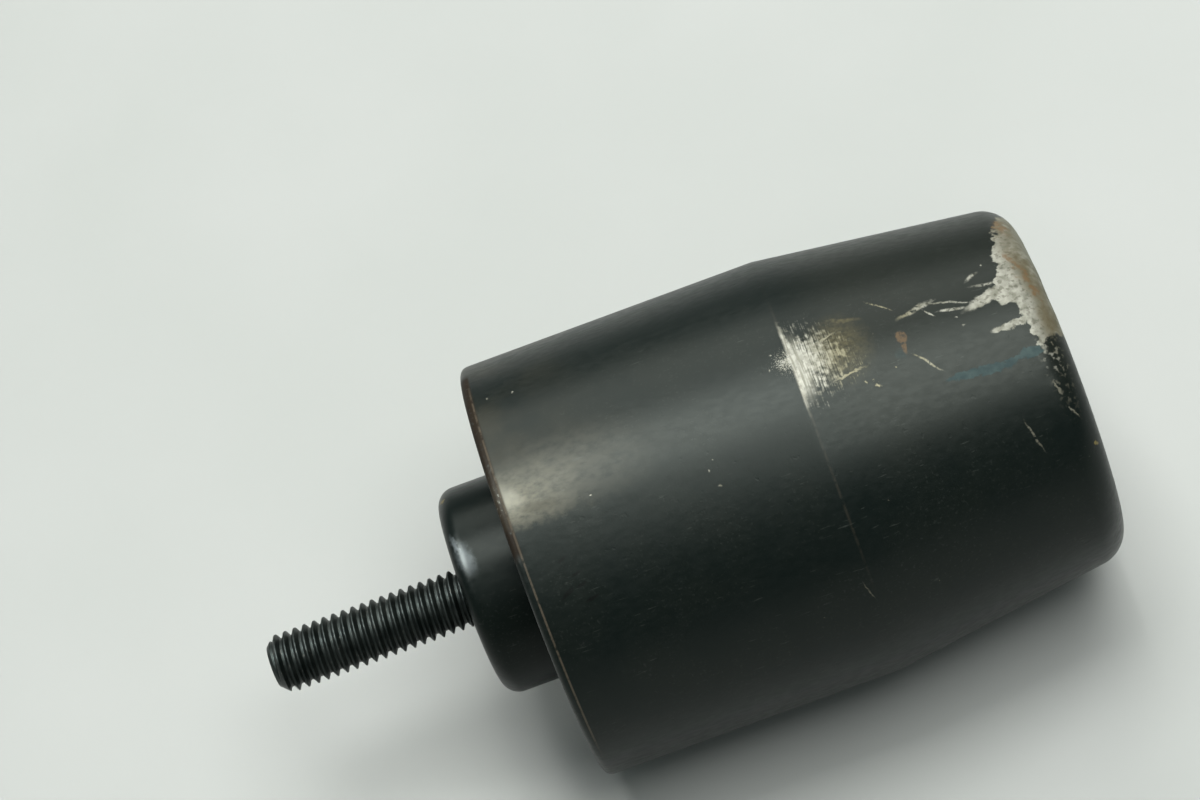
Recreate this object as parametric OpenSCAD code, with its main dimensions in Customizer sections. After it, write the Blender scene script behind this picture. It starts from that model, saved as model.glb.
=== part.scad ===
// Bar end weight: a turned steel weight with a threaded stud that screws into the end of a handlebar.
// The origin is the centre of the spigot's seat face. +X points along the axis to the outer end.

/* [Weight] */
// Diameter of the straight length, the widest part of the weight
body_d = 42; // [38:0.5:50]
// Length of the straight part, from the shoulder to the ridge
straight_len = 30.2; // [20:0.2:45]
// Length of the tapered part, from the ridge to the outer face
taper_len = 24.8; // [14:0.2:40]
// Diameter at which the taper would meet the outer face if the edge were sharp
nose_d = 35.4; // [30:0.2:37]
// Radius of the edge between the taper and the outer face
nose_edge_r = 3.4; // [1:0.2:6]
// Radius of the edge of the shoulder
shoulder_edge_r = 0.8; // [0.2:0.1:1.5]

/* [Spigot] */
// Diameter of the spigot, about that of the handlebar tube
spigot_d = 21; // [17:0.5:26]
// Length of the spigot, which holds the shoulder clear of the grip
spigot_len = 6.5; // [4.5:0.5:15]
// Radius of the spigot's outer edge
spigot_edge_r = 1.8; // [0.4:0.2:3]
// Radius that the turning tool leaves where the spigot meets the shoulder
root_r = 0.5; // [0.2:0.1:1]

/* [Stud] */
// Nominal diameter of the stud's thread
stud_d = 6; // [5:0.5:8]
// Pitch of the stud's thread
stud_pitch = 1; // [0.8:0.05:1.25]
// Length of stud that stands out of the spigot
stud_reach = 20.5; // [12:0.5:40]
// Length of stud that is screwed into the weight
stud_grip = 12; // [8:0.5:20]
// Distance from the seat face to the first full turn of thread
thread_start = 0.5; // [0.3:0.1:1]
// Diameter of the flat on the stud's tip, inside its chamfer
tip_flat_d = 4; // [3:0.1:4]

/* [Tapped hole] */
// Radial gap between the stud and the wall of its hole
thread_gap = 0.02; // [0.01:0.01:0.1]
// Depth of hole left below the end of the stud
hole_spare = 2; // [1:0.5:4]
// Full angle of the drill's point at the bottom of the hole
drill_point = 118; // [90:2:140]
// Width of the countersink round the mouth of the hole
countersink = 0.5; // [0.2:0.1:1]

/* [Hidden] */
$fn = 128;
// Cuts run this far past the face that they open
cut_past = 1;
// A standard thread's mean radius lies this share of its pitch inside its crests
mean_depth = 0.325;

body_r = body_d / 2;
spigot_r = spigot_d / 2;
stud_r = stud_d / 2;
tip_flat_r = tip_flat_d / 2;
mean_r = stud_r - mean_depth * stud_pitch;
hole_r = mean_r + thread_gap;

shoulder_x = spigot_len;
ridge_x = shoulder_x + straight_len;
end_x = ridge_x + taper_len;

// Half angle of the taper
taper_angle = atan((body_r - nose_d / 2) / taper_len);
// Centre of the outer edge's arc, which is tangent to the taper and to the outer face
nose_arc_x = end_x - nose_edge_r;
nose_arc_r = body_r - (nose_arc_x - ridge_x) * tan(taper_angle) - nose_edge_r / cos(taper_angle);

tip_chamfer = stud_r - tip_flat_r;
grip_chamfer = mean_r - tip_flat_r;
hole_depth = stud_grip + hole_spare;
drill_cone = hole_r / tan(drill_point / 2);

// Turns a profile drawn as [radius, distance along the axis] about the X axis
module turned() {
    rotate([0, 90, 0]) rotate_extrude() children();
}

// A corner of the profile that a circle rounds: the circle's centre and its radius
module edge_round(centre, r) {
    translate(centre) circle(r = r);
}

// The fillet in the corner between the spigot and the shoulder
module root_fillet() {
    translate([spigot_r, shoulder_x - root_r])
        difference() {
            square(root_r);
            translate([root_r, 0]) circle(r = root_r);
        }
}

module weight_profile() {
    // The body and the spigot with their corners cut back to where each round starts
    polygon([
        [0, 0],
        [spigot_r - spigot_edge_r, 0],
        [spigot_r, spigot_edge_r],
        [spigot_r, shoulder_x],
        [body_r - shoulder_edge_r, shoulder_x],
        [body_r, shoulder_x + shoulder_edge_r],
        [body_r, ridge_x],
        [nose_arc_r + nose_edge_r * cos(taper_angle), nose_arc_x + nose_edge_r * sin(taper_angle)],
        [nose_arc_r, end_x],
        [0, end_x]
    ]);
    edge_round([spigot_r - spigot_edge_r, spigot_edge_r], spigot_edge_r);
    edge_round([body_r - shoulder_edge_r, shoulder_x + shoulder_edge_r], shoulder_edge_r);
    edge_round([nose_arc_r, nose_arc_x], nose_edge_r);
    root_fillet();
}

// The drilled and tapped hole that holds the stud, with its drill point and countersink
module stud_hole() {
    rotate([0, 90, 0]) {
        translate([0, 0, -cut_past]) cylinder(r = hole_r, h = hole_depth + cut_past);
        translate([0, 0, hole_depth]) cylinder(r1 = hole_r, r2 = 0, h = drill_cone);
        cylinder(r1 = hole_r + countersink, r2 = hole_r, h = countersink);
    }
}

module weight() {
    color([0.1, 0.11, 0.11])
        difference() {
            turned() weight_profile();
            stud_hole();
        }
}

// The stud is as wide as its thread's crests outside the weight. Inside, where its thread and
// the hole's thread share the same space, it and the hole have the thread's mean radius.
module stud() {
    color([0.2, 0.2, 0.21])
        turned()
            polygon([
                [0, -stud_reach],
                [tip_flat_r, -stud_reach],
                [stud_r, tip_chamfer - stud_reach],
                [stud_r, -thread_start],
                [mean_r, -thread_start],
                [mean_r, stud_grip - grip_chamfer],
                [tip_flat_r, stud_grip],
                [0, stud_grip]
            ]);
}

weight();
stud();
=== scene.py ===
import math

import bpy
from mathutils import Matrix, Vector, noise


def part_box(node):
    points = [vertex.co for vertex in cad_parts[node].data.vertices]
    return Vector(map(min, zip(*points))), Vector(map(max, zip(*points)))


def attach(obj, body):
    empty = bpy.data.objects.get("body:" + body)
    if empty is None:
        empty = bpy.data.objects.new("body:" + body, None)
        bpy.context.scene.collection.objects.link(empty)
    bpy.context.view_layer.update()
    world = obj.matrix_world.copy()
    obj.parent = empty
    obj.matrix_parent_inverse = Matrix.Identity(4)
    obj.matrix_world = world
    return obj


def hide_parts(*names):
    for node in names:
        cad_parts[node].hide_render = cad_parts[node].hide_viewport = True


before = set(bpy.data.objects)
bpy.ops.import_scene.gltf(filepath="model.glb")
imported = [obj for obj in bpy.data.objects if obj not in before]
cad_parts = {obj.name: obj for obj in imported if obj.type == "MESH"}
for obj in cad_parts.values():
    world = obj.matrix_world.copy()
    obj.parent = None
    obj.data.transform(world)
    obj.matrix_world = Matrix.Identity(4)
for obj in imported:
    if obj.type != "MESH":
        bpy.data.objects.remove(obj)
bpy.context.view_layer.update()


# Weight
# One piece turned from steel bar: the spigot that seats on the handlebar's end, the shoulder, the
# straight length, the taper and the rounded outer edge. It is sprayed semi-gloss black, and falls
# and rubbing have worn the ridge and the outer edge to bare steel, which has begun to rust.

# Sizes are in millimetres until a mesh is made
METRES = 0.001
weight_low, weight_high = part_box("weight")
end_x = weight_high.x / METRES
body_r = weight_high.z / METRES

straight_len = 30.2
shoulder_x = 6.5
ridge_x = shoulder_x + straight_len
ridge_round = 0.12
nose_r = 17.7
nose_edge_r = 3.4
shoulder_edge_r = 0.8
spigot_r = 10.5
spigot_edge_r = 1.8
root_r = 0.5
hole_r = 2.695
hole_depth = 14.0
drill_tip_x = 15.6
countersink = 0.5

taper_angle = math.atan((body_r - nose_r) / (end_x - ridge_x))
nose_arc_x = end_x - nose_edge_r
nose_arc_r = body_r - (nose_arc_x - ridge_x) * math.tan(taper_angle) - nose_edge_r / math.cos(taper_angle)

# Length of the mesh's faces along each stretch of the profile, their number along each corner and
# round the piece, and the angle past which an edge between two of them stays sharp
flat_step = 0.8
shoulder_step = 1.2
straight_step = 0.5
taper_step = 0.45
spigot_edge_faces = 16
root_faces = 6
shoulder_edge_faces = 8
nose_edge_faces = 22
weight_segments = 400
crease_degrees = 32


def straight(start, end, step):
    """Points along a straight stretch of the profile, without its last one."""
    count = max(1, math.ceil(math.dist(start, end) / step))
    return [tuple(a + (b - a) * i / count for a, b in zip(start, end)) for i in range(count)]


def rounded(centre_x, centre_r, radius, start, end, count):
    """Points round a corner; an angle of 0 faces away from the axis and 90 faces the outer end."""
    angles = [math.radians(start + (end - start) * i / count) for i in range(count + 1)]
    return [(centre_x + radius * math.sin(a), centre_r + radius * math.cos(a)) for a in angles]


def weight_profile():
    """The profile from the bottom of the stud's hole, round the outside, to the outer face's middle."""
    hole_mouth = (0, hole_r + countersink)
    spigot_edge = rounded(
        spigot_edge_r, spigot_r - spigot_edge_r, spigot_edge_r, -90, 0, spigot_edge_faces)
    root = rounded(shoulder_x - root_r, spigot_r + root_r, root_r, 180, 90, root_faces)
    shoulder_edge = rounded(
        shoulder_x + shoulder_edge_r, body_r - shoulder_edge_r, shoulder_edge_r, -90, 0, shoulder_edge_faces)
    straight_end = (ridge_x - ridge_round, body_r)
    taper_start = (ridge_x + ridge_round, body_r - ridge_round * math.tan(taper_angle))
    nose_edge = rounded(
        nose_arc_x, nose_arc_r, nose_edge_r, math.degrees(taper_angle), 90, nose_edge_faces)
    face_middle = (end_x, 0)
    return (
        [(drill_tip_x, 0), (hole_depth, hole_r), (countersink, hole_r)]
        + straight(hole_mouth, spigot_edge[0], flat_step)
        + spigot_edge
        + straight(spigot_edge[-1], root[0], straight_step)[1:]
        + root
        + straight(root[-1], shoulder_edge[0], shoulder_step)[1:]
        + shoulder_edge
        + straight(shoulder_edge[-1], straight_end, straight_step)[1:]
        + [straight_end]
        + straight(taper_start, nose_edge[0], taper_step)
        + nose_edge
        + straight(nose_edge[-1], face_middle, flat_step)[1:]
        + [face_middle]
    )


def turn_mesh(name, profile, segments, shape):
    """Turns a profile of (distance along the axis, radius) about X. shape may move a point inwards."""
    verts, rings = [], []
    for x, r in profile:
        if r == 0:
            rings.append([len(verts)])
            verts.append((x, 0, 0))
            continue
        rings.append(range(len(verts), len(verts) + segments))
        for i in range(segments):
            angle = 2 * math.pi * i / segments
            px, pr = shape(x, r, angle)
            verts.append((px, -pr * math.sin(angle), pr * math.cos(angle)))
    faces = []
    for low, high in zip(rings, rings[1:]):
        for i in range(segments):
            j = (i + 1) % segments
            corners = [low[i % len(low)], high[i % len(high)], high[j % len(high)], low[j % len(low)]]
            faces.append(tuple(dict.fromkeys(corners)))
    mesh = bpy.data.meshes.new(name)
    mesh.from_pydata([Vector(v) * METRES for v in verts], [], faces)
    mesh.shade_smooth()
    mesh.set_sharp_from_angle(angle=math.radians(crease_degrees))
    piece = bpy.data.objects.new(name, mesh)
    bpy.context.scene.collection.objects.link(piece)
    return piece


# Knocks: distance along the axis, angle from the top towards the front, radius and depth
knocks = [
    (60.6, -20, 3.2, 0.08), (60.4, 2, 3.0, 0.10), (59.8, 15, 2.2, 0.10), (58.9, 31, 1.1, 0.06),
    (59.4, 43, 1.3, 0.07), (60.2, 95, 1.5, 0.06), (59.9, 170, 2.4, 0.10), (60.4, 236, 1.8, 0.08),
    (36.7, 4, 1.8, 0.05), (36.7, 13, 1.2, 0.04), (36.7, 150, 1.4, 0.04), (7.2, 28, 0.8, 0.05),
    (7.0, 142, 1.0, 0.06), (7.1, 260, 0.9, 0.05),
]
knock_reach_on_face = 2
knock_lumps_per_mm = 0.9
knock_evenness = 0.75
knock_unevenness = 0.5


def knocked(x, r, angle):
    """A point of the weight's skin, pressed in where it has been knocked."""
    if x < shoulder_x or r < nose_arc_r - knock_reach_on_face:
        return x, r
    depth = 0
    for knock_x, degrees, radius, deepest in knocks:
        turn = (angle - math.radians(degrees) + math.pi) % (2 * math.pi) - math.pi
        near = 1 - math.hypot(x - knock_x, turn * r) / radius
        if near > 0:
            depth += deepest * near * near * (3 - 2 * near)
    if depth:
        lumps = Vector((x, r * math.sin(angle), r * math.cos(angle))) * knock_lumps_per_mm
        depth *= knock_evenness + knock_unevenness * noise.noise(lumps)
    lean = min(1, max(0, (x - nose_arc_x) / nose_edge_r))
    return x - depth * lean, r - depth * (1 - lean)


class Finish:
    """A material being mixed: its nodes, and short ways to add to them."""

    def __init__(self, name):
        self.material = bpy.data.materials.new(name)
        self.material.use_nodes = True
        self.nodes = self.material.node_tree.nodes
        self.links = self.material.node_tree.links
        self.shader = self.nodes["Principled BSDF"]
        self.place = self.vector("SCALE", self.add("ShaderNodeTexCoord").outputs["Object"], Scale=1 / METRES)

    def add(self, kind, inputs=None, **settings):
        node = self.nodes.new(kind)
        for setting, value in settings.items():
            setattr(node, setting, value)
        for key, value in (inputs or {}).items():
            self.feed(node.inputs[key], value)
        return node

    def feed(self, socket, value):
        if isinstance(value, bpy.types.NodeSocket):
            self.links.new(value, socket)
        else:
            socket.default_value = value

    def give(self, quality, value):
        """Gives the surface a colour, roughness or other quality of the shader."""
        self.feed(self.shader.inputs[quality], value)

    def give_height(self, height):
        """Gives the surface a fine relief, whose height is in millimetres."""
        bump = self.add("ShaderNodeBump", {"Height": height, "Distance": METRES, "Strength": 1.0})
        self.give("Normal", bump.outputs[0])

    def calc(self, operation, *values, clamp=False):
        node = self.add("ShaderNodeMath", dict(enumerate(values)), operation=operation, use_clamp=clamp)
        return node.outputs[0]

    def times(self, product, *others):
        """Masks or amounts multiplied together."""
        for other in others:
            product = self.calc("MULTIPLY", product, other)
        return product

    def most(self, masks):
        """The strongest of some masks, which are mixed one by one as they are made."""
        masks = iter(masks)
        strongest = next(masks)
        for mask in masks:
            strongest = self.calc("MAXIMUM", strongest, mask)
        return strongest

    def vector(self, operation, *values, **named):
        node = self.add("ShaderNodeVectorMath", {**dict(enumerate(values)), **named}, operation=operation)
        return node.outputs["Value" if operation in ("DOT_PRODUCT", "DISTANCE", "LENGTH") else "Vector"]

    def grain(self, size, detail=2.0, stretch=(1, 1, 1), shift=0.0):
        """Noise from 0 to 1 whose lumps are about size millimetres across, longer along a stretch."""
        scaled = self.vector("MULTIPLY", self.place, tuple(1 / (size * s) for s in stretch))
        moved = self.vector("ADD", scaled, (shift, shift, shift))
        return self.add("ShaderNodeTexNoise", {"Vector": moved, "Scale": 1.0, "Detail": detail}).outputs[0]

    def push(self, grain, amount):
        """Grain turned into a push of up to half an amount either way."""
        return self.times(self.calc("SUBTRACT", grain, 0.5), amount)

    def fade(self, value, start, end):
        """0 at start and 1 at end, smooth between them."""
        inputs = {"Value": value, "From Min": start, "From Max": end}
        return self.add("ShaderNodeMapRange", inputs, interpolation_type="SMOOTHSTEP").outputs[0]

    def blend(self, below, above, mask):
        """A colour with another laid over it where a mask is."""
        node = self.add("ShaderNodeMix", {0: mask}, data_type="RGBA")
        for socket, colour in ((node.inputs[6], below), (node.inputs[7], above)):
            self.feed(socket, colour if isinstance(colour, bpy.types.NodeSocket) else (*colour, 1))
        return node.outputs[2]

    def tint(self, below, above, mask, share):
        """A colour with another laid over it where a mask is, at a share of the mask's strength."""
        return self.blend(below, above, self.times(mask, share))


def skin_r(x):
    """Radius of the weight's skin at a distance along the axis."""
    if x < shoulder_x:
        return spigot_r
    if x < ridge_x:
        return body_r
    if x < nose_arc_x:
        return body_r - (x - ridge_x) * math.tan(taper_angle)
    return nose_arc_r + math.sqrt(max(0, nose_edge_r ** 2 - (x - nose_arc_x) ** 2))


def on_skin(x, degrees):
    """A place on the unrolled skin: distance along the axis, and round it from the top to the front."""
    return (x, math.radians(degrees) * skin_r(x), 0)


class WornPaint(Finish):
    """Paint with marks laid on it by their place on the unrolled skin of the turned piece."""

    def __init__(self, name):
        super().__init__(name)
        axes = self.add("ShaderNodeSeparateXYZ", {0: self.place}).outputs
        self.along = axes["X"]
        across = self.vector("MULTIPLY", self.place, (0, 1, 1))
        self.radius = self.vector("LENGTH", across)
        self.turn = self.calc("ARCTAN2", self.times(axes["Y"], -1.0), axes["Z"])
        arc = self.times(self.turn, self.radius)
        self.skin = self.add("ShaderNodeCombineXYZ", {"X": self.along, "Y": arc}).outputs[0]

    def ragged(self, size, amount, detail=3.0):
        """The unrolled skin, shifted about so that marks drawn on it get ragged edges."""
        scaled = self.vector("SCALE", self.place, Scale=1 / size)
        lumps = self.add("ShaderNodeTexNoise", {"Vector": scaled, "Scale": 1.0, "Detail": detail}).outputs[1]
        centred = self.vector("SUBTRACT", lumps, (0.5, 0.5, 0.5))
        return self.vector("ADD", self.skin, self.vector("SCALE", centred, Scale=amount))

    def streak(self, skin, start, end, width, soft=0.45):
        """A long oval mark from start to end with a half width; soft is the share of it that fades."""
        a, b = Vector(on_skin(*start)), Vector(on_skin(*end))
        run = b - a
        any_height = 1000
        oval = {
            "Vector": skin,
            "Location": (a + b) / 2,
            "Rotation": (0, 0, math.atan2(run.y, run.x)),
            "Scale": (run.length / 2 + width, width, any_height),
        }
        mapped = self.add("ShaderNodeMapping", oval, vector_type="TEXTURE").outputs[0]
        return self.fade(self.vector("LENGTH", mapped), 1 + soft, 1 - soft)

    def streaks(self, skin, marks):
        return self.most(self.streak(skin, *mark) for mark in marks)

    def spot(self, skin, x, degrees, size, soft=0.08):
        """A round mark of a given radius."""
        return self.fade(self.vector("DISTANCE", skin, on_skin(x, degrees)), size + soft, size - soft)

    def oval(self, skin, x, degrees, half_length, half_width):
        """How far a place is from the middle of an oval: 0 in the middle and 1 on its edge."""
        from_middle = self.vector("SUBTRACT", skin, on_skin(x, degrees))
        shares = self.vector("MULTIPLY", from_middle, (1 / half_length, 1 / half_width, 0))
        return self.vector("LENGTH", shares)

    def band(self, middle, gone, full):
        """A band all round the piece: full within one distance of its middle, gone beyond another."""
        return self.fade(self.calc("ABSOLUTE", self.calc("SUBTRACT", self.along, middle)), gone, full)


paint = WornPaint("black_paint_worn")

# Skins that give the marks on them edges from crisp to jagged: size of their lumps and their reach
crisp_skin = paint.ragged(0.5, 0.16)
wavy_skin = paint.ragged(1.5, 0.75, 4.0)
torn_skin = paint.ragged(1.1, 0.95, 5.0)
rough_skin = paint.ragged(0.5, 0.9, 5.0)
jagged_skin = paint.ragged(0.9, 2.4, 6.0)

# Each mark of a list runs from one place to another. A place is a distance along the axis and an
# angle from the top towards the front. Then come the mark's half width and, where it isn't the
# usual share, the share of it that fades.

# The ridge's patch of bare steel. It fans out beyond the ridge along fine turning lines, and a
# small burst of flecks reaches back over the ridge.
turning_stretch = (1, 16, 16)
turning_lines = paint.grain(0.16, 3.0, stretch=turning_stretch)
fan = paint.oval(paint.skin, 37.2, 5.4, 4.6, 3.7)
fan = paint.calc("ADD", fan, paint.push(turning_lines, 1.6))
fan = paint.calc("ADD", fan, paint.push(paint.grain(0.5, 5.0), 2.0))
fan = paint.times(paint.fade(fan, 1.15, 0.25), paint.fade(paint.along, ridge_x - 0.2, ridge_x + 0.1))
ridge_marks = [
    ((36.6, -6.8), (37.3, 5), 0.36, 0.6),
    ((37.3, 3), (36.6, 17.2), 0.42, 0.6),
    ((37.5, 1), (37.4, 12), 0.85, 0.6),
    ((40.1, 12.9), (42.6, 11.8), 0.11, 0.8),
    ((39.6, 1.2), (41.2, -0.6), 0.12, 0.8),
]
crisp_along = paint.vector("DOT_PRODUCT", crisp_skin, (1, 0, 0))
beyond_ridge = paint.fade(crisp_along, ridge_x - 0.2, ridge_x + 0.05)
ridge_bare = paint.times(paint.streaks(rough_skin, ridge_marks), beyond_ridge)
flecks = paint.calc("SUBTRACT", 1.3, paint.oval(torn_skin, 36.9, 3.6, 2.7, 2.2))
flecks = paint.calc("MULTIPLY_ADD", paint.grain(0.13, 4.0, shift=9.0), 2.0, flecks)
flecks = paint.fade(flecks, 1.65, 2.3)
ridge_bare = paint.most([fan, ridge_bare])
ridge_bare = paint.most([ridge_bare, flecks])

# Scratches, most of them between the ridge's patch and the outer edge
scratches = [
    ((47.9, 0.4), (50.7, -2.0), 0.24),
    ((50.5, -1.8), (54.2, 1.8), 0.10),
    ((51.3, 1.8), (53.5, 3.1), 0.13),
    ((45.3, -7.5), (46.9, -3.4), 0.09),
    ((49.9, 0.2), (50.6, 2.6), 0.08),
    ((54.9, -5.8), (55.7, -7.4), 0.15, 0.8),
    ((55.4, -3.2), (57.2, -2.6), 0.12, 0.9),
    ((47.8, 13.0), (49.4, 18.8), 0.11),
    ((55.1, 41.0), (55.8, 49.5), 0.10),
    ((36.1, 66.6), (36.5, 71.0), 0.07),
]
scratched = paint.streaks(wavy_skin, scratches)
scratched = paint.times(scratched, paint.fade(paint.grain(0.3, 3.0, shift=2.0), 0.3, 0.55))

# The outer edge's patch: a torn area with one bay of paint left in it, two long tears that run out
# of it, and small tears and specks below it. It ends raggedly a little way in on the outer face.
edge_marks = [
    ((61.9, -46), (60.9, -12), 2.2, 0.05),
    ((61.0, -24), (60.4, 10), 2.9, 0.04),
    ((59.6, -4.5), (58.2, 2.4), 1.8, 0.06),
    ((61.3, 0), (61.1, 6), 1.7, 0.05),
    ((59.9, 8), (59.1, 21), 0.65, 0.1),
]
tears = [
    ((59.4, -1.6), (54.3, 3.4), 0.62, 0.2),
    ((59.0, 12.2), (55.5, 13.1), 0.36, 0.2),
    ((58.8, 33.2), (59.1, 36.6), 0.13, 0.3),
    ((59.5, 41.8), (59.9, 44.6), 0.10, 0.3),
]
edge_bare = paint.streaks(jagged_skin, edge_marks)
paint_bay = paint.spot(torn_skin, 57.3, 8.6, 1.0)
edge_bare = paint.calc("SUBTRACT", edge_bare, paint_bay, clamp=True)
edge_bare = paint.most([edge_bare, paint.streaks(rough_skin, tears)])
edge_specks = paint.fade(paint.oval(torn_skin, 59.6, 25, 1.3, 6.5), 1.2, 0.3)
edge_specks = paint.times(edge_specks, paint.fade(paint.grain(0.45, 5.0), 0.52, 0.66))
edge_bare = paint.most([edge_bare, paint.times(edge_specks, 0.6)])
onto_face = paint.calc("MULTIPLY_ADD", paint.grain(1.3, 5.0, shift=14.0), 5.0, paint.radius)
edge_bare = paint.times(edge_bare, paint.fade(onto_face, 15.9, 16.2))

# Small chips: distance along the axis, angle and radius
chips = [
    (45.7, 14.5, 0.12), (43.6, 17.5, 0.17), (43.2, 16.2, 0.09), (42.6, 15.6, 0.13), (52.5, 5.3, 0.09),
    (52.9, 8.5, 0.10), (56.6, -10.4, 0.10), (35.2, 0.4, 0.09), (34.6, 4.6, 0.08), (15.3, 19.9, 0.11),
    (11.2, -19.3, 0.13), (8.8, -20.2, 0.12), (26.9, 21.9, 0.09), (26.3, 24.3, 0.08), (26.7, 28.7, 0.12),
    (40.8, 47.3, 0.07), (42.7, 75.7, 0.08), (31.5, 71.7, 0.07), (24.0, 148.0, 0.18), (47.5, -160.0, 0.22),
    (15.5, -105.0, 0.16), (52.0, 128.0, 0.20),
]
chipped = paint.most(paint.spot(rough_skin, *chip) for chip in chips)
bare = paint.most([ridge_bare, edge_bare, scratched, chipped])

# Rust on the outer edge's patch, and one rusty chip on the taper
rust_marks = [
    ((59.7, -33), (59.9, -26), 0.5),
    ((59.6, -7.5), (60.2, 0.5), 0.36),
    ((60.1, -0.5), (60.5, 6.5), 0.32),
    ((59.2, -12), (59.5, -8), 0.3),
]
rusty_chip_marks = [
    ((47.1, 6.0), (47.1, 7.0), 0.5, 0.2),
    ((47.1, 7.0), (47.0, 10.8), 0.24, 0.3),
]
rust = paint.times(paint.streaks(jagged_skin, rust_marks), 0.9)
rusty_chip = paint.streaks(crisp_skin, rusty_chip_marks)
rust = paint.most([rust, paint.times(rusty_chip, 0.8)])
rust = paint.times(rust, paint.fade(paint.grain(0.6, 4.0, shift=7.0), 0.36, 0.6))

# An olive stain round the ridge's patch, on its outer side
olive = paint.fade(paint.oval(torn_skin, 41.4, 4.2, 3.3, 4.0), 1.15, 0.2)
olive = paint.most([olive, paint.streak(torn_skin, (41.4, -4.6), (43.6, -3.0), 0.3)])
olive = paint.times(olive, paint.fade(paint.grain(0.35, 5.0, shift=3.0), 0.05, 0.8))

# A smear of blue paint, as from something that the weight has rubbed against
blue_marks = [
    ((50.0, 22.4), (53.6, 23.3), 0.42, 0.15),
    ((51.9, 22.9), (55.8, 23.7), 0.46, 0.15),
    ((54.5, 23.6), (57.4, 22.3), 0.26, 0.2),
    ((57.3, 22.2), (58.5, 22.7), 0.52, 0.15),
]
blue = paint.streaks(rough_skin, blue_marks)
faint_blue = paint.spot(torn_skin, 46.5, 11.5, 0.5, 0.3)
blue = paint.most([blue, paint.times(faint_blue, 0.35)])

# Dark scars where the paint is scraped thin, on the front beside the shoulder
scar_marks = [
    ((9.6, 41.8), (10.6, 40.2), 0.22, 0.4),
    ((11.4, 40.2), (12.0, 39.4), 0.16, 0.4),
    ((11.6, 44.8), (12.6, 43.9), 0.17, 0.4),
    ((11.2, 37.6), (11.9, 36.8), 0.13, 0.4),
    ((10.4, 32.9), (11.1, 32.0), 0.12, 0.4),
]
scars = paint.streaks(wavy_skin, scar_marks)

# A painted highlight on the spigot's edge: a pale mark where its gloss shows a bright V
seat_glint_marks = [
    ((0.8, 1), (1.3, 13), 0.22, 0.8),
    ((1.4, 10), (1.6, 17), 0.6, 0.9),
]
seat_glint = paint.streaks(rough_skin, seat_glint_marks)

# The shoulder's edge is rusty where the grip has rubbed it. A thin worn line runs along it, and a
# fainter one along the ridge.
shoulder_band = paint.times(paint.fade(paint.along, 7.6, 7.3), paint.fade(paint.radius, 19.9, 20.15))
shoulder_rust = paint.fade(paint.oval(torn_skin, 7.0, -4, 40, 11.5), 1.1, 0.95)
shoulder_rust = paint.times(shoulder_rust, paint.fade(paint.grain(0.35, 4.0, shift=4.0), 0.2, 0.45))
shoulder_rust = paint.times(shoulder_rust, shoulder_band)
worn_line = paint.band(7.32, 0.14, 0.04)
worn_line = paint.times(worn_line, paint.fade(paint.oval(torn_skin, 7.3, 32, 40, 21), 1.2, 0.8))
ridge_line = paint.band(36.75, 0.20, 0.02)
ridge_line = paint.times(ridge_line, paint.fade(paint.oval(torn_skin, 36.7, 24, 40, 15), 1.3, 0.5))
worn_line = paint.most([worn_line, paint.times(ridge_line, 0.22)])
worn_line = paint.times(worn_line, paint.fade(paint.grain(0.7, 4.0, shift=6.0), 0.3, 0.55))

# Paint rubbed brownish beside the shoulder, and thinner where it comes near to the shoulder's edge.
# Both marks are also a painted highlight: lighter than the wear alone, on the gloss band, ending at a sharp
# line below it.
rub_and_highlight_skin = paint.ragged(5.0, 3.0)
on_body = paint.fade(paint.along, shoulder_x - 0.1, shoulder_x + 0.2)
rub_and_highlight_end = paint.fade(paint.calc("MULTIPLY_ADD", paint.grain(0.7, 4.0), 0.10, paint.turn), 0.45, 0.40)
rub_and_highlight = paint.fade(paint.oval(rub_and_highlight_skin, 7.5, 11, 14.5, 5.0), 1.3, 0.1)
rub_and_highlight = paint.times(rub_and_highlight, paint.fade(paint.grain(0.7, 5.0, stretch=(1.6, 1, 1)), 0.05, 0.7))
rub_and_highlight = paint.times(rub_and_highlight, rub_and_highlight_end, on_body)
thin_coat_and_highlight = paint.fade(paint.oval(rub_and_highlight_skin, 7.0, 13.5, 8.0, 4.0), 1.2, 0.0)
thin_coat_and_highlight = paint.times(thin_coat_and_highlight, paint.fade(paint.grain(0.4, 5.0, stretch=(1.5, 1, 1)), 0.12, 0.7))
thin_coat_and_highlight = paint.times(thin_coat_and_highlight, paint.times(rub_and_highlight_end, on_body))

# The paint's colours, from the whole coat to the smallest marks in it
paint_black = (0.0020, 0.0045, 0.0041)
paint_grey = (0.0037, 0.0060, 0.0050)
taper_sheen_grey = (0.0105, 0.0118, 0.0094)
dust_grey = (0.036, 0.040, 0.037)
rub_brown_and_highlight = (0.072, 0.066, 0.051)
thin_tan_and_highlight = (0.23, 0.21, 0.15)
shoulder_glint_tan = (0.37, 0.355, 0.29)
smear_brown = (0.035, 0.028, 0.014)
faded_brown = (0.019, 0.018, 0.0125)
olive_brown = (0.080, 0.066, 0.031)
hairline_grey = (0.05, 0.055, 0.05)
glint_white = (0.24, 0.27, 0.29)
speck_yellow = (0.17, 0.13, 0.04)
scar_black = (0.0012, 0.0015, 0.0014)

cloud = paint.grain(7.0, 4.0)
colour = paint.blend(paint_black, paint_grey, paint.fade(cloud, 0.3, 0.7))
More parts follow.
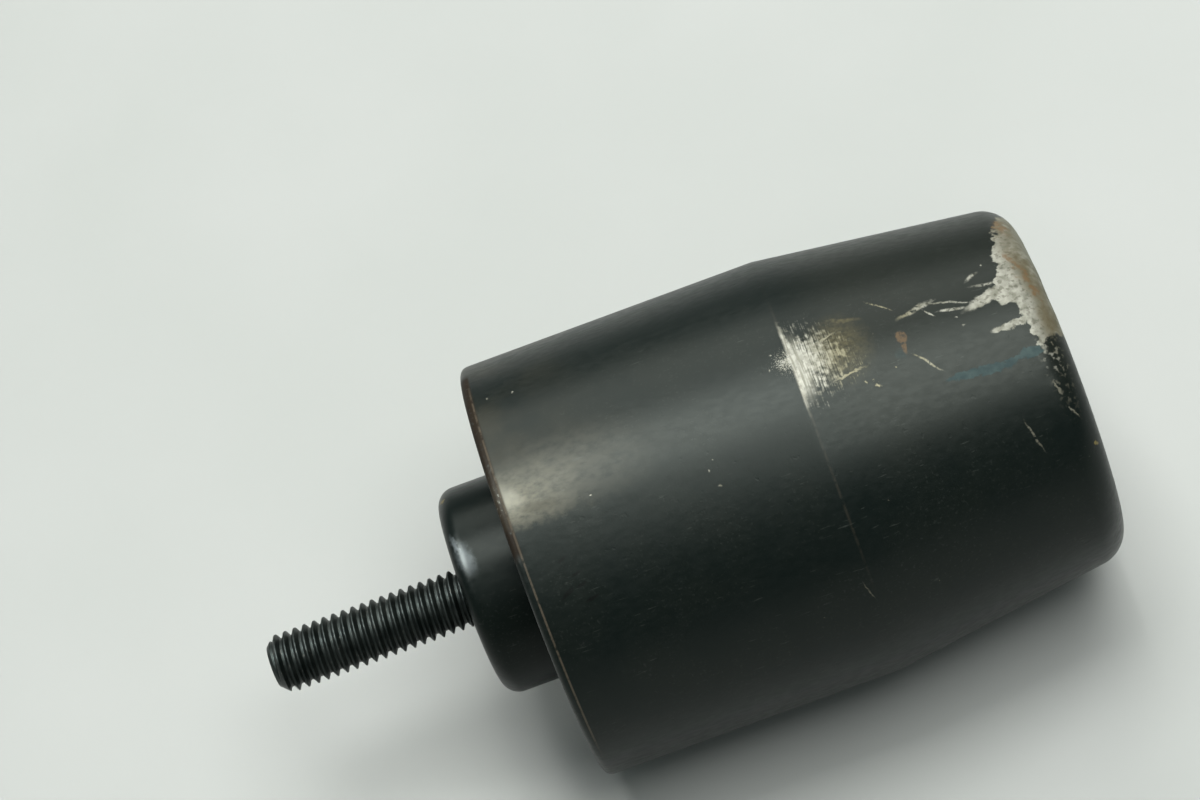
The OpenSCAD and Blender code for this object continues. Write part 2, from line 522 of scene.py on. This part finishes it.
# A painted sheen: the taper's paint is made a lighter grey except on its lower front and underside
taper_sheen = paint.times(paint.fade(paint.along, 37, 44), paint.fade(paint.turn, 0.85, 0.3))
colour = paint.tint(colour, taper_sheen_grey, taper_sheen, 0.6)
dusty = paint.fade(paint.grain(0.28, 4.0, shift=20.0), 0.56, 0.74)
dusty = paint.times(dusty, paint.fade(cloud, 0.35, 0.6))
colour = paint.tint(colour, dust_grey, dusty, 0.28)
# The brown rub and the tan thin paint, each partly wear and partly a painted highlight
colour = paint.tint(colour, rub_brown_and_highlight, rub_and_highlight, 0.8)
colour = paint.tint(colour, thin_tan_and_highlight, thin_coat_and_highlight, 0.55)
# A painted highlight: a cream streak on the shoulder's rounded edge, where the card on the left shines
shoulder_glint = paint.times(paint.streak(wavy_skin, (7.3, 11.8), (7.9, 13.6), 0.9, 0.9), on_body)
colour = paint.tint(colour, shoulder_glint_tan, shoulder_glint, 0.65)
smeared = paint.streak(wavy_skin, (9.0, 16.8), (11.6, 18.0), 0.45, 0.8)
colour = paint.tint(colour, smear_brown, smeared, 0.6)
faded = paint.times(paint.fade(paint.along, 20, 5), paint.fade(cloud, 0.3, 0.65))
faded = paint.times(faded, paint.fade(paint.turn, 0.45, 0.0))
colour = paint.tint(colour, faded_brown, faded, on_body)
colour = paint.tint(colour, olive_brown, olive, 0.8)
hairlines = paint.fade(paint.grain(0.2, 2.0, stretch=(9, 1, 1)), 0.66, 0.74)
hairlines = paint.times(hairlines, paint.fade(paint.grain(3.5), 0.45, 0.65))
colour = paint.tint(colour, hairline_grey, hairlines, 0.4)
# The painted highlight on the spigot's edge
colour = paint.tint(colour, glint_white, seat_glint, 0.5)
specks = paint.most([paint.spot(rough_skin, 0.8, -33, 0.28), paint.spot(rough_skin, 60.7, 56, 0.28)])
colour = paint.tint(colour, speck_yellow, specks, 0.8)
colour = paint.tint(colour, scar_black, scars, 0.8)

# The bare steel's colours: bright where it has just been rubbed, dull where it has tarnished, and darker
# towards the front and underside
steel_grey = (0.15, 0.146, 0.118)
steel_pale = (0.30, 0.293, 0.255)
pit_brown = (0.06, 0.055, 0.038)
rubbed_steel = (0.29, 0.288, 0.262)
score_grey = (0.13, 0.125, 0.10)
old_scratch_tan = (0.17, 0.155, 0.10)
edge_tarnish = (0.135, 0.126, 0.088)
stain_brown = (0.085, 0.066, 0.032)
lower_front_dark = (0.085, 0.08, 0.06)

steel = paint.blend(steel_grey, steel_pale, paint.fade(paint.grain(0.9, 5.0), 0.3, 0.7))
pits = paint.fade(paint.grain(0.45, 5.0, shift=12.0), 0.5, 0.34)
steel = paint.tint(steel, pit_brown, pits, 0.6)
newly_rubbed = paint.streak(torn_skin, (37.2, -1), (37.3, 14), 1.0, 0.9)
steel = paint.tint(steel, rubbed_steel, newly_rubbed, 0.4)
scored = paint.times(paint.fade(turning_lines, 0.47, 0.62), paint.fade(paint.along, 45, 44))
steel = paint.tint(steel, score_grey, scored, 0.7)
old_scratches = paint.band(44.5, 6.0, 3.0)
steel = paint.tint(steel, old_scratch_tan, old_scratches, 0.9)
outermost = paint.calc("ADD", paint.along, paint.times(paint.grain(1.2, 4.0), 2.0))
steel = paint.tint(steel, edge_tarnish, paint.fade(outermost, 60.4, 61.6), 0.6)
stain_marks = [
    ((59.6, -17), (60.7, 8), 0.8, 0.9),
    ((58.6, -46), (59.7, -24), 1.2, 0.9),
    ((60.9, 6), (60.2, 19), 0.7, 0.9),
]
steel = paint.tint(steel, stain_brown, paint.streaks(jagged_skin, stain_marks), 0.75)
# Bare steel made darker towards the front and underside, by its angle round the piece alone
steel = paint.tint(steel, lower_front_dark, paint.fade(paint.turn, 0.47, 0.56), 0.85)

# The steel shows through the paint, and rust, blue paint and the worn lines lie over both
rust_brown = (0.125, 0.070, 0.030)
blue_dark = (0.012, 0.028, 0.032)
blue_pale = (0.030, 0.052, 0.053)
shoulder_brown = (0.021, 0.014, 0.0095)
worn_line_tan = (0.085, 0.068, 0.050)

colour = paint.blend(colour, steel, bare)
colour = paint.tint(colour, rust_brown, rust, 0.8)
blue_tone = paint.blend(blue_dark, blue_pale, paint.fade(paint.grain(0.8, 4.0), 0.3, 0.7))
colour = paint.blend(colour, blue_tone, blue)
colour = paint.tint(colour, shoulder_brown, shoulder_rust, 0.85)
colour = paint.tint(colour, worn_line_tan, worn_line, 0.7)
paint.give("Base Color", colour)

# Bare steel counts as metal for a little over half, for less towards the tarnished outer edge, and
# for hardly any where it has rusted
metal_share = 0.55
tarnish_dulls = 0.4
dulled = paint.times(paint.fade(paint.along, 44, 54), tarnish_dulls)
metal = paint.times(bare, paint.calc("SUBTRACT", metal_share, dulled))
metal = paint.times(metal, paint.calc("SUBTRACT", 1.0, rust))
paint.give("Metallic", metal)

# Roughness of the smoothest paint, and what the coat, scuffs, the body and wear add to it. The rub
# beside the shoulder takes a little away.
smoothest = 0.25
coat_adds = 0.03
scuffs_add = 0.08
body_adds = 0.05
rub_takes = 0.05
wear_adds = 0.16
scuffed = paint.fade(paint.grain(0.5, 4.0, stretch=(2.2, 1, 1)), 0.3, 0.7)
roughness = paint.calc("MULTIPLY_ADD", scuffed, scuffs_add, smoothest)
roughness = paint.calc("ADD", roughness, paint.calc("MULTIPLY_ADD", on_body, body_adds, coat_adds))
roughness = paint.calc("SUBTRACT", roughness, paint.times(rub_and_highlight, rub_takes))
worn = paint.most([bare, rust, blue, shoulder_rust])
roughness = paint.calc("ADD", roughness, paint.times(worn, wear_adds))
paint.give("Roughness", roughness)

# The paint reflects weakly, a little more on the body than on the spigot
spigot_sheen = 0.12
body_sheen = 0.20
rust_dulls = 0.8
sheen_tint = (0.93, 1.0, 0.95, 1)
sheen = paint.calc("MULTIPLY_ADD", on_body, body_sheen - spigot_sheen, spigot_sheen)
sheen = paint.times(sheen, paint.calc("SUBTRACT", 1.0, paint.times(shoulder_rust, rust_dulls)))
paint.give("Specular IOR Level", sheen)
paint.give("Specular Tint", sheen_tint)

# Relief: the sprayed coat's peel, small dings, and the turning lines of the ridge's patch
peel_height = 0.0042
ding_depth = 0.006
line_height = 0.02
peel = paint.times(paint.grain(0.5, 4.0), peel_height)
dings = paint.times(paint.fade(paint.grain(0.9, 2.0, shift=11.0), 0.66, 0.76), -ding_depth)
lined = paint.times(paint.fade(paint.oval(paint.skin, 38.5, 5, 4.5, 5), 1.0, 0.5), line_height)
lines = paint.times(paint.grain(0.16, 2.0, stretch=turning_stretch), lined)
relief = paint.times(paint.calc("ADD", peel, dings), paint.fade(paint.along, 6.2, 7.0))
paint.give_height(paint.calc("ADD", relief, lines))

weight = turn_mesh("weight_turned", weight_profile(), weight_segments, knocked)
weight.data.materials.append(paint.material)
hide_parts("weight")
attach(weight, "root")


# Stud
# A fully threaded M6 stud in black oxide steel, cut square and chamfered at its tip. It is screwed
# into the tapped hole in the spigot with locking compound, and stays there in use.

stud_low, stud_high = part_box("stud")
tip_x = stud_low.x / METRES
buried_x = stud_high.x / METRES
crest_undersize = 0.04
crest_r = stud_high.y / METRES - crest_undersize
pitch = 1.0
root_depth = 0.54
tip_flat_r = 2.0
tip_cut_askew = 0.06
mean_r = 2.675
thread_start = 0.5
run_out = 0.3

# Shares of half a pitch that the crest's flat and the sloping flank take up; the root has the rest
crest_share = 0.125
flank_share = 0.625

# The thread's form ends a little inside the hole, where nothing of it can be seen
thread_form_end = 1.0
stud_step = 0.04
stud_segments = 96


def threaded(x, r, angle):
    """A point of the stud's skin: a right-hand thread, cut off by the chamfer and by the seat."""
    if r <= tip_flat_r:
        return x, r
    across = (x / pitch + angle / (2 * math.pi)) % 1
    from_crest = max(0, abs(across - 0.5) * 2 - crest_share)
    depth = root_depth * min(1, from_crest / flank_share)
    chamfer_r = tip_flat_r + (x - tip_x) + tip_cut_askew * math.cos(angle)
    neck = min(1, max(0, (x + thread_start) / run_out))
    thread_r = crest_r - depth
    return x, min(thread_r * (1 - neck) + min(thread_r, mean_r) * neck, chamfer_r, crest_r)


thread_rings = round((thread_form_end - tip_x) / stud_step)
stud_profile = [(tip_x, 0), (tip_x, tip_flat_r / 2), (tip_x, tip_flat_r)]
stud_profile += [(tip_x + i * stud_step, crest_r) for i in range(1, thread_rings + 1)]
stud_profile += [(buried_x, tip_flat_r), (buried_x, 0)]

oxide_black = (0.009, 0.013, 0.012)
oxide_grey = (0.021, 0.026, 0.024)
oxide_dust = (0.2, 0.19, 0.17)
cut_line_height = 0.006

# Roughness where the oxide is dry and where it is oiled
dry_roughness = 0.54
oiled_roughness = 0.40

oxide = Finish("black_oxide_steel")
dry = oxide.fade(oxide.grain(1.6, 4.0), 0.3, 0.7)
oxide_colour = oxide.blend(oxide_black, oxide_grey, dry)
dust = oxide.fade(oxide.grain(0.35, 4.0, shift=5.0), 0.6, 0.75)
oxide_colour = oxide.tint(oxide_colour, oxide_dust, dust, 0.3)
oxide.give("Base Color", oxide_colour)
oxide.give("Metallic", 0.8)
oxide_roughness = oxide.calc("MULTIPLY_ADD", dry, dry_roughness - oiled_roughness, oiled_roughness)
oxide.give("Roughness", oxide_roughness)
oxide.give_height(oxide.times(oxide.grain(0.12, 2.0), cut_line_height))

stud = turn_mesh("stud_threaded", stud_profile, stud_segments, threaded)
stud.data.materials.append(oxide.material)
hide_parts("stud")
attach(stud, "root")


# Table, light and camera
# The part lies on its straight length on a pale painted table, in the soft light of three large
# lamps, a dim ceiling and a card on the left. The camera looks down at it from the front, rolled so
# that the stud points down left.

table_size = 6.0
table_low = (0.398, 0.407, 0.400)
table_high = (0.418, 0.424, 0.420)
half = table_size / 2
table_outline = ((-half, -half), (half, -half), (half, half), (-half, half))
table_corners = [(x, y, weight_low.z) for x, y in table_outline]

table_mesh = bpy.data.meshes.new("table_top")
table_mesh.from_pydata(table_corners, [], [(0, 1, 2, 3)])
table = bpy.data.objects.new("table_top", table_mesh)
bpy.context.scene.collection.objects.link(table)
table_paint = Finish("pale_table")
mottle = table_paint.fade(table_paint.grain(40.0, 5.0), 0.25, 0.75)
table_paint.give("Base Color", table_paint.blend(table_low, table_high, mottle))
table_paint.give("Roughness", 0.7)
table_paint.give("Specular IOR Level", 0.0)
table_mesh.materials.append(table_paint.material)


def soft_light(name, over, lean, distance, width, depth, radiance, colour):
    """A lamp facing the part: over counts degrees from the front over the top, and lean is towards +X."""
    lamp = bpy.data.lights.new(name, "AREA")
    lamp.shape = "RECTANGLE"
    lamp.size = width
    lamp.size_y = depth
    lamp.energy = radiance * math.pi * width * depth
    lamp.color = colour
    holder = bpy.data.objects.new(name, lamp)
    swing = Matrix.Rotation(math.radians(90 - over), 4, "X") @ Matrix.Rotation(math.radians(lean), 4, "Y")
    holder.matrix_world = swing @ Matrix.Translation((0, 0, distance))
    bpy.context.scene.collection.objects.link(holder)
    return holder


# Lamps: name, degrees over, lean, distance, width and depth in metres, radiance and colour
lamps = [
    ("overhead_light", 100.5, -1, 1.0, 0.31, 0.54, 11.2, (0.98, 1.0, 0.96)),
    ("right_light", 85, 18, 1.0, 0.46, 0.82, 8.2, (0.98, 1.0, 0.96)),
    ("far_light", 138, 0, 1.2, 1.0, 0.5, 3.9, (0.98, 1.0, 0.94)),
    ("near_ceiling", 58, 0, 1.2, 0.8, 0.6, 0.6, (0.95, 1.0, 0.98)),
]
for lamp_settings in lamps:
    soft_light(*lamp_settings)

# The card only shows in the gloss: it sheds no light on the table or on the paint's own colour
card = soft_light("left_card", 104, -34, 1.0, 0.40, 0.36, 70.0, (0.97, 1.0, 1.0))
card.visible_diffuse = False

room_colour = (0.84, 1.0, 0.95, 1)
room_strength = 0.17
world = bpy.data.worlds.new("dim_room")
world.use_nodes = True
world.node_tree.nodes["Background"].inputs["Color"].default_value = room_colour
world.node_tree.nodes["Background"].inputs["Strength"].default_value = room_strength
bpy.context.scene.world = world

# The camera is opposite a place on the axis, and its distance is from the axis
camera_foot = 32.03
camera_distance = 384.1
camera_elevation = 57.0
camera_yaw = 2.047
camera_pitch = 2.013
camera_roll = -20.086
camera_lens = 118.68

lens = bpy.data.cameras.new("camera")
lens.lens = camera_lens
lens.sensor_width = 36.0
lens.sensor_fit = "HORIZONTAL"
lens.clip_start = 0.01
camera = bpy.data.objects.new("camera", lens)
bpy.context.scene.collection.objects.link(camera)
facing = Matrix.Rotation(math.radians(90 - camera_elevation), 4, "X")
aim = Matrix.Rotation(math.radians(camera_yaw), 4, "Y") @ Matrix.Rotation(math.radians(camera_pitch), 4, "X")
roll = Matrix.Rotation(math.radians(camera_roll), 4, "Z")
place = Vector((camera_foot, 0, 0)) + facing @ Vector((0, 0, camera_distance))
camera.matrix_world = Matrix.Translation(place * METRES) @ facing @ aim @ roll
bpy.context.scene.camera = camera
bpy.context.scene.view_settings.view_transform = "Standard"
